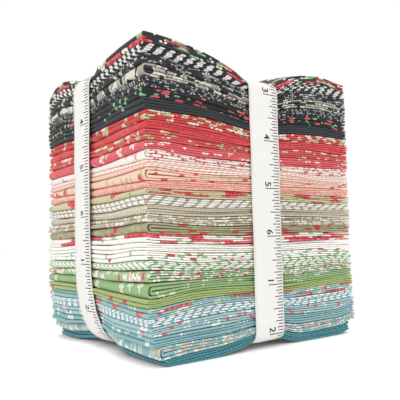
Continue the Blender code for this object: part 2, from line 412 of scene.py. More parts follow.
@dataclass(frozen=True)
class PrintedCotton:
    """Quilting cotton, plain woven and screen printed: matt, with a fine thread grain over a flat print."""

    name: str
    ground: str
    motifs: tuple[Motif, ...]
    lined_up: bool = False
    thread: float = 0.55  # millimetres. The real 0.37 is too fine to show, so the grain is drawn coarser.
    thread_height: float = 0.06  # millimetres
    slub_scale: float = 0.9  # uneven places to a millimetre
    slub_tone: float = 0.24
    darkest_tone: float = 0.88

    def material(self) -> bpy.types.Material:
        """Makes the material on the cloth's own flat coordinates.

        Returns:
            The cotton's material.
        """
        dye = Dye(f"printed_cotton_{self.name}")
        flat = dye.add("ShaderNodeUVMap", {}, uv_map=FLAT_CLOTH)[0]
        cloth = dye.add(VECTOR_MATH, {0: flat, "Scale": 1 / MM}, operation="SCALE")[0]
        colour: Socket | tuple = linear(self.ground)
        for layer, motif in enumerate(self.motifs):
            colour = motif.paint(dye, cloth, colour, layer)
        slubs = {"Vector": cloth, "Scale": self.slub_scale, "Detail": 3.0}
        grain = dye.add(NOISE, slubs, noise_dimensions="2D")[0]
        uneven = (grain, self.slub_tone, self.darkest_tone)
        tone = dye.add(MATH, uneven, operation="MULTIPLY_ADD")[0]
        colour = dye.add(VECTOR_MATH, {0: colour, "Scale": tone}, operation="SCALE")[0]
        along = dye.add(SPLIT, (cloth,))
        threads = []
        for axis in (0, 1):
            turn = dye.add(MATH, (along[axis], math.tau / self.thread), operation="MULTIPLY")[0]
            threads.append(dye.add(MATH, (turn,), operation="SINE")[0])
        weave = dye.add(MATH, (threads[0], threads[1]), operation="MULTIPLY")[0]
        bump = dye.add(BUMP, {"Height": weave, "Strength": 0.35, "Distance": self.thread_height * MM})[0]
        return dye.dress(
            {"Base Color": colour, "Normal": bump, "Roughness": 0.9, "Sheen Weight": 0.08, "IOR": 1.5}
        )


@dataclass(frozen=True)
class RulerTwill:
    """Cotton twill tape, woven on the slant and printed along one edge with sixteenths of an inch."""

    colour: str = "#eeece7"
    ink: str = "#454446"
    rib: float = 1.3  # millimetres. The real rib is about 0.6, drawn coarser so that it shows.
    rib_height: float = 0.08  # millimetres
    # share of the colour lost to painted shade along the twill ribs
    painted_rib_shade: float = 0.022
    tick: float = 0.5  # millimetres
    ticks_to_inch: int = 16
    match: float = 0.1  # of a tick, within which a count is a whole one
    margin: float = 0.04  # of the width, between the tape's edge and its ticks
    shortest: float = 0.18  # of the width, and each longer kind of tick adds to that
    longer: tuple[tuple[float, float], ...] = ((2.0, 0.05), (4.0, 0.05), (8.0, 0.07), (16.0, 0.15))

    def material(self) -> bpy.types.Material:
        """Makes the material on the tape's flat coordinates, whose U is across it and V along it.

        Returns:
            The tape's material.
        """
        dye = Dye("printed_twill_tape")
        flat = dye.add("ShaderNodeUVMap", {}, uv_map=FLAT_CLOTH)[0]
        along = dye.add(SPLIT, (flat,))
        ticks_to_metre = self.ticks_to_inch / INCH
        parts = dye.add(MATH, (along[1], ticks_to_metre), operation="MULTIPLY")[0]
        count = dye.add(MATH, (parts,), operation="ROUND")[0]
        gap = dye.add(MATH, (parts, count), operation="SUBTRACT")[0]
        near = dye.add(MATH, (gap,), operation="ABSOLUTE")[0]
        half_tick = self.tick * MM / 2 * ticks_to_metre
        on_line = dye.add(MATH, (near, half_tick), operation="LESS_THAN")[0]
        length: Socket | float = self.shortest
        for every, more in self.longer:
            left_over = dye.add(MATH, (count, every), operation="MODULO")[0]
            hit = dye.add(MATH, (left_over, 0.0, self.match), operation="COMPARE")[0]
            length = dye.add(MATH, (hit, more, length), operation="MULTIPLY_ADD")[0]
        inward = (along[0], 1 / RulerTape.width, -self.margin)
        from_edge = dye.add(MATH, inward, operation="MULTIPLY_ADD")[0]
        short = dye.add(MATH, (from_edge, length), operation="LESS_THAN")[0]
        past = dye.add(MATH, (from_edge, 0.0), operation="GREATER_THAN")[0]
        reaches = dye.add(MATH, (short, past), operation="MULTIPLY")[0]
        ticks = dye.add(MATH, (on_line, reaches), operation="MULTIPLY")[0]
        colour = dye.add(MIX, {0: ticks, 6: linear(self.colour), 7: linear(self.ink)}, data_type="RGBA")[2]
        # Painted shade: the colour darkens a little along the slanted ribs, in step with their bump.
        slant = dye.add(MATH, (along[0], along[1]), operation="ADD")[0]
        turn = dye.add(MATH, (slant, math.tau / (self.rib * MM)), operation="MULTIPLY")[0]
        ribs = dye.add(MATH, (turn,), operation="SINE")[0]
        ribbed = (ribs, self.painted_rib_shade, 1 - self.painted_rib_shade)
        painted_shade = dye.add(MATH, ribbed, operation="MULTIPLY_ADD")[0]
        colour = dye.add(VECTOR_MATH, {0: colour, "Scale": painted_shade}, operation="SCALE")[0]
        bump = dye.add(BUMP, {"Height": ribs, "Strength": 0.3, "Distance": self.rib_height * MM})[0]
        return dye.dress({"Base Color": colour, "Normal": bump, "Roughness": 0.85, "Sheen Weight": 0.05})


@dataclass(frozen=True)
class ScreenInk:
    """Textile ink printed on the tape: dark, matt and a little uneven where the twill takes it."""

    colour: str = "#37363a"
    mottle: float = 900.0  # spots to a metre, about a millimetre each
    mottle_tone: float = 0.5
    darkest_tone: float = 0.75

    def material(self) -> bpy.types.Material:
        """Makes the ink's material.

        Returns:
            The ink's material.
        """
        dye = Dye("screen_printed_ink")
        place = dye.add("ShaderNodeTexCoord", {})["Object"]
        grain = dye.add(NOISE, {"Vector": place, "Scale": self.mottle})[0]
        mottled = (grain, self.mottle_tone, self.darkest_tone)
        tone = dye.add(MATH, mottled, operation="MULTIPLY_ADD")[0]
        dark = {0: linear(self.colour)[:3], "Scale": tone}
        colour = dye.add(VECTOR_MATH, dark, operation="SCALE")[0]
        return dye.dress({"Base Color": colour, "Roughness": 0.8})


@dataclass(frozen=True)
class StudioPaper:
    """The white paper roll under the bundle, glowing pure white but for a painted shadow close beside it."""

    colour: str = "#ffffff"
    # The colour of the painted shadow close beside the bundle.
    painted_shade: str = "#3e3a3a"
    # The paper's own dark colour under its glow, so that the painted glow and painted shadow give its look.
    under_glow: str = "#1a1a1a"
    reach: float = 0.012  # metres, how far out the painted shadow goes
    darkest_sky: float = 0.05
    open_sky: float = 0.62
    fibre: float = 40.0  # paper fibres to a metre, drawn coarse enough to show

    def material(self) -> bpy.types.Material:
        """Makes the paper's material, which glows where the sky over it is open and fades to a painted
        shadow where it is closed.

        Returns:
            The paper's material.
        """
        dye = Dye("studio_paper")
        place = dye.add("ShaderNodeTexCoord", {})["Object"]
        fibres = dye.add(NOISE, {"Vector": place, "Scale": self.fibre})[0]
        bump = dye.add(BUMP, {"Height": fibres, "Strength": 0.02})[0]
        # Painted shadow: where nearby things close the sky, ambient occlusion fades the paper's glow to the
        # painted shade colour.
        sky = dye.add("ShaderNodeAmbientOcclusion", {"Distance": self.reach}, samples=16)["AO"]
        stretch = {"Value": sky, "From Min": self.darkest_sky, "From Max": self.open_sky}
        lit = dye.add("ShaderNodeMapRange", stretch)[0]
        painted_glow_and_shade = dye.add(MIX, {0: lit, 6: linear(self.painted_shade), 7: linear(self.colour)}, data_type="RGBA")[2]
        return dye.dress(
            {
                "Base Color": linear(self.under_glow),
                "Normal": bump,
                "Roughness": 0.95,
                "Specular IOR Level": 0.0,
                "Emission Color": painted_glow_and_shade,
                "Emission Strength": 1.0,
            }
        )


# ---------------------------------------------------------------------------------------------- prints


def roses(size: float, colour: str, accent: str, share: float = 0.75, spread: float = 1.7) -> Motif:
    """Large cabbage roses, spaced to leave some ground."""
    return Motif(Shape.ROSE, size * spread, size, colour, accent, share)


def blossoms(size: float, colour: str, heart: str, spread: float = 2.0, share: float = 0.9) -> Motif:
    """Small five-petalled blossoms."""
    return Motif(Shape.BLOSSOM, size * spread, size, colour, heart, share)


def leaves(size: float, colour: str, vein: str, spread: float = 1.6, share: float = 0.8) -> Motif:
    """Single leaves with a centre vein."""
    return Motif(Shape.LEAF, size * spread, size, colour, vein, share)


def berries(size: float, colour: str, spread: float = 3.0, share: float = 0.8) -> Motif:
    """Round berries or dots."""
    return Motif(Shape.BERRY, size * spread, size, colour, colour, share)


def wedges(pitch: float, tall: float, colour: str, vein: str, half_width: float = 0.36) -> Motif:
    """Stripes of slanted leaves, so far apart along the stripe and so tall across it."""
    return Motif(Shape.WEDGE, pitch, half_width, colour, vein, tall / pitch)


def scrolls(spacing: float, line: str, patch: str, width: float = 0.03, share: float = 0.7) -> Motif:
    """Curling lines with filled patches."""
    return Motif(Shape.SCROLL, spacing, width, line, patch, share)


def marks(pitch: float, colour: str, cut: float = 0.3) -> Motif:
    """Fine marks on a grid."""
    return Motif(Shape.MARKS, pitch, cut, colour, colour)


def checks(pitch: float, colour: str, width: float = 0.5) -> Motif:
    """A woven check."""
    return Motif(Shape.CHECK, pitch, width, colour, colour)


WHITE, RED, SAGE = "#f1eee6", "#cf3945", "#a9cf9f"
ROW = 4.03  # millimetres from row to row, which is how tall a stripe of large leaves is

# From the top of the stack to its bottom, with the CAD's names.
PRINTS = (
    PrintedCotton(
        "charcoal_rose",
        "#34383b",
        (
            leaves(12, SAGE, "#7fae7d", 1.5),
            blossoms(6, WHITE, "#d8b56a", 2.2),
            roses(17, RED, "#e2727c", 0.8),
        ),
    ),
    PrintedCotton(
        "black_leaf_stripe", "#25282b", (wedges(4.8, ROW, "#eae8e2", "#b9b8b5", 0.28),), lined_up=True
    ),
    PrintedCotton(
        "black_blossom",
        "#2a2d31",
        (blossoms(4.5, "#a0a2a3", "#2a2d31", 1.5, 0.8), blossoms(3.8, "#e2dfd8", "#8a8c8f", 1.7)),
    ),
    PrintedCotton("black_cream_scroll", "#2c2b2a", (scrolls(7, "#ddd8cb", "#a9a497", 0.05, 0.6),)),
    PrintedCotton("black_fine_marks", "#2a2d30", (blossoms(1.6, "#c4c4c0", "#6b6e70", 1.35, 0.8),)),
    PrintedCotton(
        "black_rosebud",
        "#26292b",
        (leaves(4.5, "#8fbf93", "#6d9d72", 1.4, 0.8), berries(4.2, "#e05a66", 2.4, 0.6)),
    ),
    PrintedCotton("charcoal_sparse", "#34383a", (blossoms(3, "#c3c5c4", "#7b7e80", 4.0, 0.8),)),
    PrintedCotton(
        "red_posy",
        "#cf4246",
        (leaves(8, "#c6cf9c", "#93ab6c", 1.3, 0.9), blossoms(6, "#f0e6dc", "#e0c7a0", 1.7, 0.9)),
    ),
    PrintedCotton("red_tonal", "#d44548", (scrolls(6, "#e0656a", "#da5357", 0.02, 0.5),)),
    PrintedCotton(
        "red_cream_floral",
        "#d6555a",
        (blossoms(7, "#ecd9bd", "#d9b98f", 1.4, 0.9), leaves(8, "#bcc78c", "#8fa060", 1.2, 0.9)),
    ),
    PrintedCotton(
        "coral_blossom",
        "#e0656a",
        (scrolls(5, "#d9585f", "#de6066", 0.03, 0.4), blossoms(6, "#f4e3df", "#eda9a9", 1.6, 0.9)),
    ),
    PrintedCotton(
        "white_sprig",
        "#f4ede6",
        (leaves(6, "#e7b3ab", "#d98388", 1.6, 0.8), blossoms(6, "#dc5a66", "#f1e9e2", 2.0, 0.9)),
    ),
    PrintedCotton("peach_check", "#faeee6", (checks(3.6, "#f2b8a5"),)),
    PrintedCotton(
        "peach_leaf_berry",
        "#f5ccb8",
        (leaves(4.6, "#bcc893", "#98a76b", 1.5, 0.9), berries(3.6, "#dc5058", 3.0, 0.8)),
    ),
    PrintedCotton("pink_plain", "#f3b7a6", (scrolls(4, "#ec9f8f", "#f5c4b6", 0.03, 0.5),)),
    PrintedCotton(
        "red_cream_rose",
        "#d2c5a2",
        (leaves(12, "#b0cd86", "#86a85a", 1.4, 0.9), roses(15, "#cb3b45", "#dd6c74", 0.85)),
    ),
    PrintedCotton("taupe_leaf_stripe", "#b5aa92", (wedges(5.4, ROW, "#f1f0ea", "#d8d3c6"),), lined_up=True),
    PrintedCotton("taupe_fine", "#c6bba2", (marks(2.4, "#f2ede2", 0.5),)),
    PrintedCotton(
        "taupe_blossom",
        "#b9ad94",
        (blossoms(7, "#efeade", "#c9bfa8", 1.5, 0.9), blossoms(4, WHITE, "#d0c6b0", 2.0, 0.8)),
    ),
    PrintedCotton(
        "taupe_green_berry",
        "#a89d7d",
        (leaves(6, "#aebf86", "#7d945a", 1.2, 0.9), berries(5, "#cf3f4a", 2.6, 0.9)),
    ),
    PrintedCotton(
        "white_rose",
        "#f8f4ec",
        (
            leaves(9, "#bcd3a8", "#97b581", 1.8, 0.8),
            roses(27, "#d43c4b", "#e0606c", 1.0),
            roses(12, "#d8505c", "#e8808a", 0.5),
        ),
    ),
    PrintedCotton("cream_plain", "#fdfcf6", (scrolls(5, "#f0ece2", "#f6f3ea", 0.02, 0.5),)),
    PrintedCotton(
        "white_leaf_berry",
        "#fbfaf3",
        (leaves(6, "#b4cca2", "#85ab72", 1.3, 0.9), berries(4.5, "#d5414c", 4.0, 0.8)),
    ),
    PrintedCotton("green_leaf_stripe", "#98b681", (wedges(4.9, 2.0, "#f0f2e8", "#cfdfc0"),), lined_up=True),
    PrintedCotton(
        "green_blossom",
        "#a0bd8e",
        (blossoms(6, "#f0ebe6", "#e6b9b6", 1.2, 1.0), berries(2.4, "#d95c66", 3.0, 0.8)),
    ),
    PrintedCotton("green_tonal", "#95b67f", (blossoms(5, "#dfe6d0", "#e0bdb6", 1.8, 0.8),)),
    PrintedCotton("lime_dot", "#9fb26e", (marks(1.8, "#b7c78e", 0.3), berries(4.5, "#d4474f", 3.2, 0.8))),
    PrintedCotton(
        "aqua_rose",
        "#98bec1",
        (
            leaves(9, "#c5d9ae", "#9bb684", 1.8, 0.8),
            blossoms(6, "#f0eee8", "#d8b56a", 2.0, 0.8),
            roses(17, "#d6434f", "#e77d85", 0.85),
        ),
    ),
    PrintedCotton("aqua_leaf_stripe", "#7fadb0", (wedges(4.5, 2.0, "#edf2f0", "#b5d3d6"),), lined_up=True),
    PrintedCotton(
        "aqua_blossom",
        "#a3c3c5",
        (blossoms(6, "#f2f3f0", "#dcb9ba", 1.4, 0.9), berries(2.6, "#d9606a", 3.6, 0.7)),
    ),
    PrintedCotton("aqua_tonal", "#8ab5b9", (blossoms(5, "#e9efed", "#c3d8d9", 1.7, 0.8),)),
    PrintedCotton("aqua_cream_scroll", "#8cb5b8", (scrolls(6, "#ece6da", "#c9c0ae", 0.035, 0.5),)),
    PrintedCotton("teal_dense", "#3c838d", (marks(2.1, "#79b3ba", 0.35),)),
)


# ---------------------------------------------------------------------------------------------- the stack


def knot_at(knots: Knots, value: float) -> float:
    """Reads a line drawn through knots.

    Args:
        knots: The knots, each a place along the line and the size there.
        value: A place along the line.

    Returns:
        The size there, and past the ends that of the nearest knot.
    """
    if value <= knots[0][0]:
        return knots[0][1]
    for (start, low), (stop, high) in zip(knots, knots[1:]):
        if value < stop:
            return low + (high - low) * (value - start) / (stop - start)
    return knots[-1][1]


@dataclass(frozen=True)
class CornerPuff:
    """How one corner of the stack swells or droops beside the crossed tapes.

    Sizes are in metres. The reaches and powers shape the rise from the tapes, and a droop is the share of
    it that is lost again at the stack's end or side.
    """

    x_side: int
    y_side: int
    rise: float
    reach_x: float
    power_x: float
    reach_y: float
    power_y: float
    droop_x: float = 0.0
    droop_y: float = 0.0
    droop_reach: float = 0.022

    def swell(self, x: float, y: float) -> float:
        """Reads how far the corner has swollen at a point of the stack's plan.

        Args:
            x: The point's place along the stack.
            y: Its place across the stack.

        Returns:
            A share from 0 in the pinch to about 1 at the corner, less what its edges droop.
        """
        stack = TiedStack
        free_x = max(0.0, abs(x - stack.cross_x) - stack.pinch) / self.reach_x
        free_y = max(0.0, abs(y - stack.cross_y) - stack.pinch) / self.reach_y
        share = (1 - math.exp(-(free_x**self.power_x))) * (1 - math.exp(-(free_y**self.power_y)))
        end = ramp(abs(x), stack.half_length - self.droop_reach, stack.half_length)
        side = ramp(abs(y), stack.half_width - self.droop_reach, stack.half_width)
        return share * (1 - self.droop_x * end) * (1 - self.droop_y * side)


@dataclass(frozen=True)
class Plump:
    """A place at the near corner where the folds gape, so that the layers above and below give way.

    Sizes are in metres. The push grows over the core and fades over the spread and the reaches. Most of it,
    the closed share, is held back at the folds' ends, so that they end round.
    """

    height: float
    push: float
    core: float
    spread: float
    reach_x: float = 0.020
    reach_y: float = 0.030
    nose: tuple[float, float] = (-0.0015, 0.0045)
    closed: float = 0.80

    def shift(self, point: Vector) -> float:
        """Reads how far a point is pushed up or down.

        Args:
            point: Its place in the flat stack.

        Returns:
            The distance in metres, up if above zero.
        """
        x, y, z = point
        near_x = (x + TiedStack.half_length) / self.reach_x
        near_y = (y + TiedStack.half_width) / self.reach_y
        corner = math.exp(-near_x * near_x - near_y * near_y)
        tip = 1 - ramp(x + TiedStack.half_length, *self.nose)
        off = z - self.height
        fade = math.tanh(off / self.core) * math.exp(-abs(off) / self.spread)
        return self.push * (1 - self.closed * tip) * corner * fade


@dataclass(frozen=True)
class Waves:
    """Random waves in the layers: swing, length and height in metres, and where in the noise they start."""

    swing: float
    length: float
    tall: float
    start: tuple[float, float]

    def lift(self, point: Vector) -> float:
        """Reads how far the waves carry a point up or down.

        Args:
            point: Its place in the flat stack.

        Returns:
            The distance in metres, up if above zero.
        """
        (x, y, z), (start_x, start_y) = point, self.start
        place = Vector((x / self.length + start_x, y / self.length + start_y, z / self.tall))
        return self.swing * noise.noise(place)


@dataclass(frozen=True)
class TiedStack:
    """The stack's own sizes in metres, the lines of its faces, and the way the tapes pinch it."""

    # Heights in the flat stack, and where the faces of the pile end there.
    near_left: Knots = (
        (0.0084, -0.0622), (0.0124, -0.0664), (0.0165, -0.0695), (0.0245, -0.0713), (0.10, -0.0724)
    )
    far_left: Knots = (
        (0.0084, -0.0649), (0.0124, -0.0679), (0.0165, -0.0702), (0.0245, -0.0721), (0.10, -0.0724)
    )
    right: Knots = ((0.0084, 0.0672), (0.0124, 0.0722), (0.0165, 0.0722), (0.06, 0.0716), (0.10, 0.0716))
    front: Knots = ((0.0084, -0.0588), (0.0124, -0.0592), (0.10, -0.0594))
    pitch: float = 0.00403
    row_height: float = 0.00373
    bottom: float = 0.0065
    rows: int = 33
    cross_x: float = 0.003
    cross_y: float = 0.007
    pinch: float = 0.011
    crown: float = 0.0097
    edge_crown: float = 0.0025  # at the front edge, under the tape
    sag: float = 0.0035
    front_sag: float = 0.0030
    top_zone: float = 0.044
    top_power: float = 1.15
    bottom_zone: float = 0.022
    bottom_power: float = 1.25
    sag_zone: tuple[float, float] = (0.030, 0.065)  # out from the middle, where the sag under a tape begins
    front_sag_zone: tuple[float, float] = (0.028, 0.054)
    thinnest: float = 0.8  # of a layer's own height, above the floor
    floor_gap: float = 0.0001
    side_pinch: float = 0.0003
    tape_edge: float = 0.0118
    tape_ease: float = 0.0012
    low_pull: float = 0.0050
    low_pull_zones: Knots = ((0.011, 0.028), (0.002, 0.046), (0.030, 0.071))  # beside the tape, up and out
    end_zone: tuple[float, float] = (0.045, 0.071)
    side_zone: tuple[float, float] = (0.032, 0.059)
    top_round: float = 0.0055
    low_round: float = 0.0035
    half_length: float = 0.071
    half_width: float = 0.059
    puffs: tuple[CornerPuff, ...] = (
        CornerPuff(-1, -1, 0.0151, 0.0248, 1.3, 0.017, 1.4),
        CornerPuff(1, -1, 0.0199, 0.0162, 0.94, 0.010, 1.0, 0.28, 0.34, 0.026),
        CornerPuff(-1, 1, 0.0160, 0.020, 1.1, 0.008, 1.0, 0.0, 0.45),
        CornerPuff(1, 1, 0.0155, 0.018, 1.0, 0.012, 1.0, 0.15, 0.15),
    )
    lobes: tuple[CornerPuff, ...] = (
        CornerPuff(-1, -1, 0.0068, 0.015, 1.6, 0.014, 1.2),
        CornerPuff(1, -1, 0.0065, 0.005, 1.1, 0.009, 1.1, 0.45, 0.0, 0.014),
        CornerPuff(-1, 1, 0.0065, 0.008, 1.1, 0.009, 1.1),
        CornerPuff(1, 1, 0.0065, 0.008, 1.1, 0.009, 1.1),
    )
    waves: Waves = Waves(0.0010, 0.050, 0.030, (5.0, 0.0))
    row_waves: Waves = Waves(0.0009, 0.034, 0.0046, (0.0, 3.0))
    pass_waves: Waves = Waves(0.00020, 0.024, 0.0011, (9.0, 0.0))
    packed_share: float = 0.35  # of the height, below which the layers are packed and above which slack
    slack: float = 0.0022
    packed: float = 0.0013
    calm: tuple[float, float] = (-0.002, 0.006)  # where the waves fade, from the top and bottom inwards
    plumps: tuple[Plump, ...] = (
        Plump(0.0385, 0.0034, 0.006, 0.024, closed=0.0),
        Plump(0.1251, 0.0014, 0.0012, 0.008),
        Plump(0.0928, 0.0010, 0.0010, 0.007),
        Plump(0.0848, 0.0021, 0.0012, 0.009),
        Plump(0.0686, 0.0011, 0.0011, 0.007),
        Plump(0.0606, 0.0014, 0.0012, 0.008),
        Plump(0.0364, 0.0015, 0.0012, 0.008),
        Plump(0.0122, 0.0011, 0.0011, 0.006),
    )

    @property
    def top(self) -> float:
        """The height of the stack's top where the tapes cross it, without its crown."""
        return self.bottom + self.rows * self.pitch - (self.pitch - self.row_height)

    def ends(self, axis: int, height: float) -> list[float]:
        """Reads where the pile ends under a tape.

        Args:
            axis: 0 for its left and right ends, 1 for its front and back.
            height: A height in the flat stack.

        Returns:
            The two ends' places along the axis.
        """
        if axis == 0:
            return [knot_at(self.far_left, height), knot_at(self.right, height)]
        front = knot_at(self.front, height)
        return [front, -front]

    def corner_of(self, corners: tuple[CornerPuff, ...], x: float, y: float) -> CornerPuff:
        """Finds the corner that a point of the plan belongs to."""
        right, behind = x > self.cross_x, y > self.cross_y
        return next(c for c in corners if (c.x_side > 0) == right and (c.y_side > 0) == behind)

    def tuck(self, beside: float, z: float) -> float:
        """How far a tape pulls the sides in.

        Args:
            beside: The distance from the tape's middle line.
            z: The height in the flat stack.

        Returns:
            The distance in metres by which the side moves in.
        """
        under_tape = 1 / (1 + math.exp((beside - self.tape_edge) / self.tape_ease))
        rounding = 0.0
        for depth, radius in ((self.top - z, self.top_round), (z - self.bottom, self.low_round)):
            if depth < radius:
                left = radius - max(0.0, depth)
                rounding += radius - math.sqrt(radius**2 - left**2)
        return under_tape * (self.side_pinch + rounding)

    def uneven(self, point: Vector) -> float:
        """How far layers of uneven thickness carry a point up or down: in waves, by rows and by passes.

        Args:
            point: Its place in the flat stack.

        Returns:
            The distance in metres, which changes too slowly with the height for layers to cross.
        """
        z, part = point.z, self.packed_share
        share = (z - self.bottom) / (self.top - self.bottom)
        slack = math.sin(math.pi * (share - part) / (1 - part)) if share > part else 0.0
        packed = math.sin(math.pi * share / part) if 0 < share < part else 0.0
        held = ramp(z - self.bottom, *self.calm) * ramp(self.top - z, *self.calm)
        waves = held * (self.waves.lift(point) + self.row_waves.lift(point))
        return waves + self.pass_waves.lift(point) + self.slack * slack - self.packed * packed

    def settle(self, point: Vector) -> Vector:
        """Moves a point of the flat, square stack to where the tied stack has it.

        Args:
            point: Its place in the flat stack.

        Returns:
            Its place in the tied stack.
        """
        x, y, z = point
        out_x, out_y = abs(x - self.cross_x), abs(y - self.cross_y)
        height = z + self.uneven(point) + sum(plump.shift(point) for plump in self.plumps)

        into_top = max(0.0, (z - (self.top - self.top_zone)) / self.top_zone) ** self.top_power
        low = max(0.0, (self.bottom + self.bottom_zone - z) / self.bottom_zone)
        into_bottom = low**self.bottom_power
        puff = self.corner_of(self.puffs, x, y)
        lobe = self.corner_of(self.lobes, x, y)
        beside = 1 - ramp(out_y, self.pinch, self.half_width + self.cross_y)
        crown = self.edge_crown + (self.crown - self.edge_crown) * beside
        sag = self.sag * beside * ramp(abs(x), *self.sag_zone)
        under = 1 - ramp(out_x, self.pinch, self.half_length)
        sag = max(sag, self.front_sag * under * ramp(abs(y), *self.front_sag_zone))
        height += into_top * (crown + (puff.rise - crown) * puff.swell(x, y))
        height -= into_bottom * (sag + (lobe.rise - sag) * lobe.swell(x, y))
        height = max(height, self.floor_gap + self.thinnest * (z - self.bottom))

        if x < 0:
            aside, up, out = self.low_pull_zones
            x += self.low_pull * (1 - ramp(out_y, *aside)) * (1 - ramp(z, *up)) * ramp(-x, *out)
        end, side = ramp(abs(x), *self.end_zone), ramp(abs(y), *self.side_zone)
        x -= math.copysign(self.tuck(out_y, z) * end, x)
        y -= math.copysign(self.tuck(out_x, z) * side, y)
        return Vector((x, y, height))


@dataclass(frozen=True)
class Station:
    """A place along a folded strip: where it is, which way is out, how far along and how far into a turn."""

    across: float
    height: float
    normal: tuple[float, float]
    length: float
    turning: float


@dataclass(frozen=True)
class FoldRoute:
    """The levels, counted from the bottom, that a strip runs through, and how deep each turn nests."""

    order: tuple[int, ...]
    nested: tuple[int, ...]

    def stations(
        self, low: float, high: float, level: float, slack: tuple[float, ...], runs: int, turns: int
    ) -> list[Station]:
        """Walks the strip from its first end to its last.

        Args:
            low: Where the turns on the low side reach to.
            high: Where the turns on the high side reach to.
            level: The distance between levels.
            slack: How far each turn stays back from its side.
            runs: The steps along each straight run.
            turns: The steps round each turn.

        Returns:
            The stations, evenly spaced within each run and turn.
        """
        middle = (len(self.order) - 1) / 2
        heights = [(index - middle) * level for index in self.order]
        found: list[Station] = []
        length, heading, start = 0.0, -1, high
        for index, height in enumerate(heights):
            last = index == len(heights) - 1
            side = low if heading < 0 else high
            radius = 0.0 if last else abs(heights[index + 1] - height) / 2
            back = 0.0 if last else radius + level * (0.5 + self.nested[index]) + slack[index]
            end = side - heading * back
            for step in range(runs + 1):
                across = start + (end - start) * step / runs
                walked = abs(across - start)
                found.append(Station(across, height, (0.0, -heading), length + walked, 0.0))
            length += abs(end - start)
            if last:
                break
            centre = (height + heights[index + 1]) / 2
            falling = 1 if heights[index + 1] < height else -1
            for step in range(1, turns):
                angle = math.pi * step / turns
                out, up = heading * math.sin(angle), falling * math.cos(angle)
                outer = -heading * falling
                found.append(
                    Station(
                        end + radius * out,
                        centre + radius * up,
                        (out * outer, up * outer),
                        length + radius * angle,
                        math.sin(angle),
                    )
                )
            length += radius * math.pi
            start, heading = end, -heading
        return found


class Folding(Enum):
    """The two ways in which a strip of four levels is folded."""

    ACCORDION = FoldRoute(order=(3, 2, 1, 0), nested=(0, 0, 0))
    HALVED = FoldRoute(order=(3, 0, 1, 2), nested=(0, 0, 1))


HALVED_ROWS = (4, 9, 11, 12, 14, 15, 16, 18, 20, 24, 25, 26, 32)
GAPING_ROWS = (12, 14, 20, 26)


